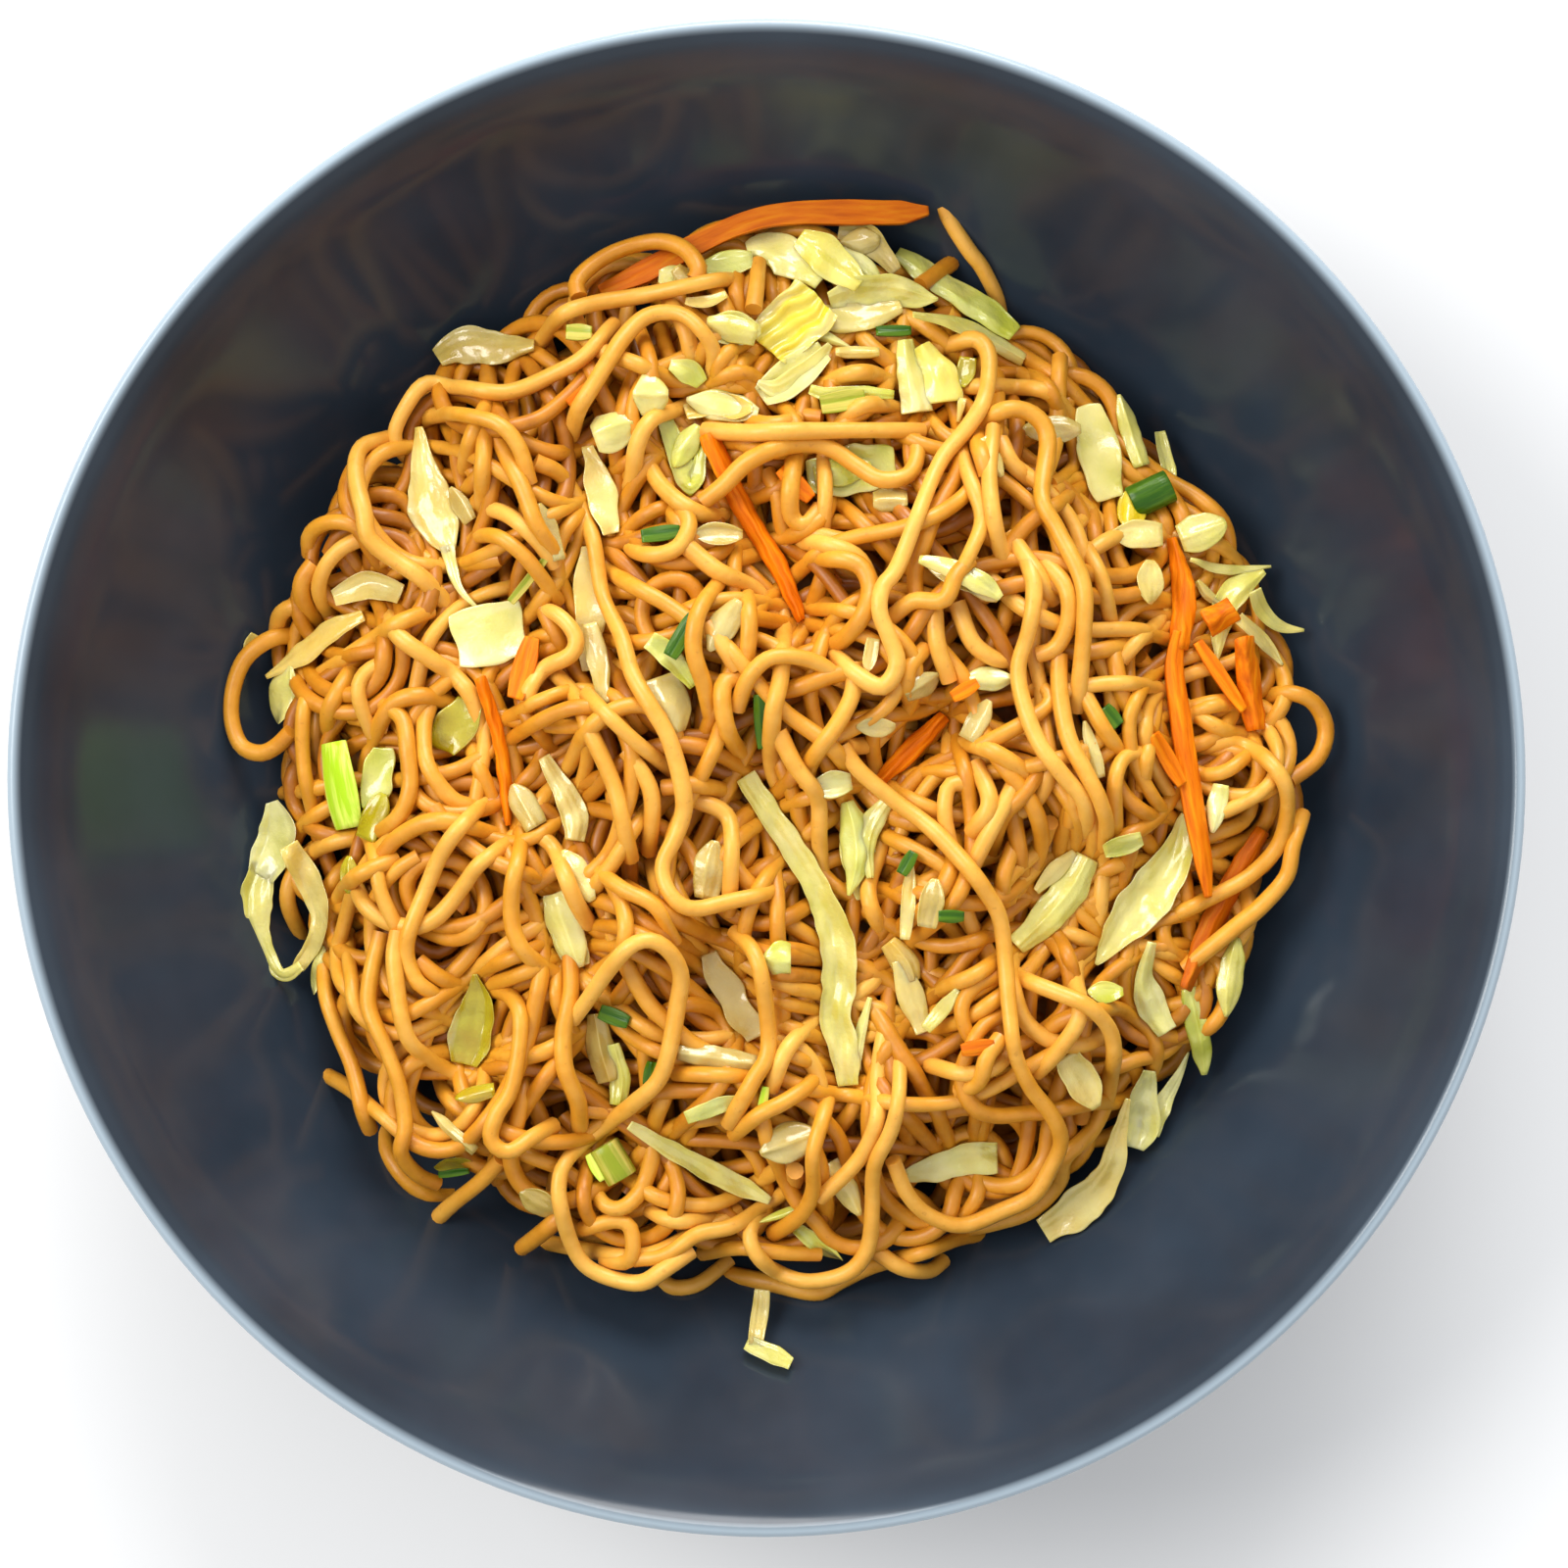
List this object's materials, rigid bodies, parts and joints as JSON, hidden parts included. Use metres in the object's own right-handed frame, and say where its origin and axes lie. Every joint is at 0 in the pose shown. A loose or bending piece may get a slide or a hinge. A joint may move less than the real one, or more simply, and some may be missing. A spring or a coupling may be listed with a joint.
{
  "type": "bowl of fried noodles",
  "caption": "A glazed bowl holding a serving of stir-fried wheat noodles with cabbage, carrot and spring onion, ready to set on a table",
  "frame": {"origin": "on the table, under the middle of the bowl's foot ring", "axes": "+Z is up, +X is right and +Y is up in the picture, which looks straight down"},
  "size_m": [0.2498, 0.2498, 0.0668],
  "materials": {
    "navy_glaze": "gloss",
    "fried_noodle": "oily satin food",
    "pale_cabbage": "moist food",
    "green_cabbage": "moist food",
    "yellow_cabbage": "moist food",
    "carrot": "moist food",
    "spring_onion": "moist food"
  },
  "bodies": {
    "root": {"bowl": "navy_glaze", "noodle_heap": "fried_noodle", "cabbage_crown_right": "pale_cabbage", "cabbage_top_green": "green_cabbage", "cabbage_mid_top": "green_cabbage", "cabbage_loop": "green_cabbage", "cabbage_mid_left": "pale_cabbage", "cabbage_star": "pale_cabbage", "cabbage_left_inner": "green_cabbage", "cabbage_left_green": "green_cabbage", "cabbage_low_left": "pale_cabbage", "cabbage_low_green": "green_cabbage", "cabbage_low_mid": "pale_cabbage", "cabbage_fold": "pale_cabbage", "cabbage_right_inner": "pale_cabbage", "cabbage_left_fold": "yellow_cabbage", "cabbage_left_strip": "pale_cabbage", "cabbage_top_left": "pale_cabbage", "cabbage_teardrop": "pale_cabbage", "cabbage_upper_left": "pale_cabbage", "cabbage_crown": "yellow_cabbage", "cabbage_upper_right": "pale_cabbage", "cabbage_yellow": "yellow_cabbage", "cabbage_upper_mid": "pale_cabbage", "cabbage_thick": "yellow_cabbage", "cabbage_upper_green": "green_cabbage", "cabbage_right_top": "pale_cabbage", "cabbage_left_shred": "pale_cabbage", "cabbage_square": "pale_cabbage", "cabbage_left_edge": "pale_cabbage", "cabbage_mid_shred": "pale_cabbage", "cabbage_long_shred": "pale_cabbage", "cabbage_right_leaf": "yellow_cabbage", "cabbage_right_tips": "yellow_cabbage", "cabbage_leaf_right": "pale_cabbage", "cabbage_green_leaf": "green_cabbage", "cabbage_low_shred": "pale_cabbage", "cabbage_low_curl": "pale_cabbage", "cabbage_low_right": "pale_cabbage", "cabbage_spoon": "pale_cabbage", "cabbage_bulb": "green_cabbage", "cabbage_right_low": "pale_cabbage", "cabbage_loose_shred": "pale_cabbage", "carrot_right_low": "carrot", "carrot_top_arc": "carrot", "carrot_middle": "carrot", "carrot_centre": "carrot", "carrot_left": "carrot", "carrot_right_upper": "carrot", "carrot_right_long": "carrot", "carrot_block": "carrot", "carrot_right_short": "carrot", "onion_dark": "spring_onion", "onion_low": "spring_onion", "onion_bright": "spring_onion"}
  },
  "joints": []
}
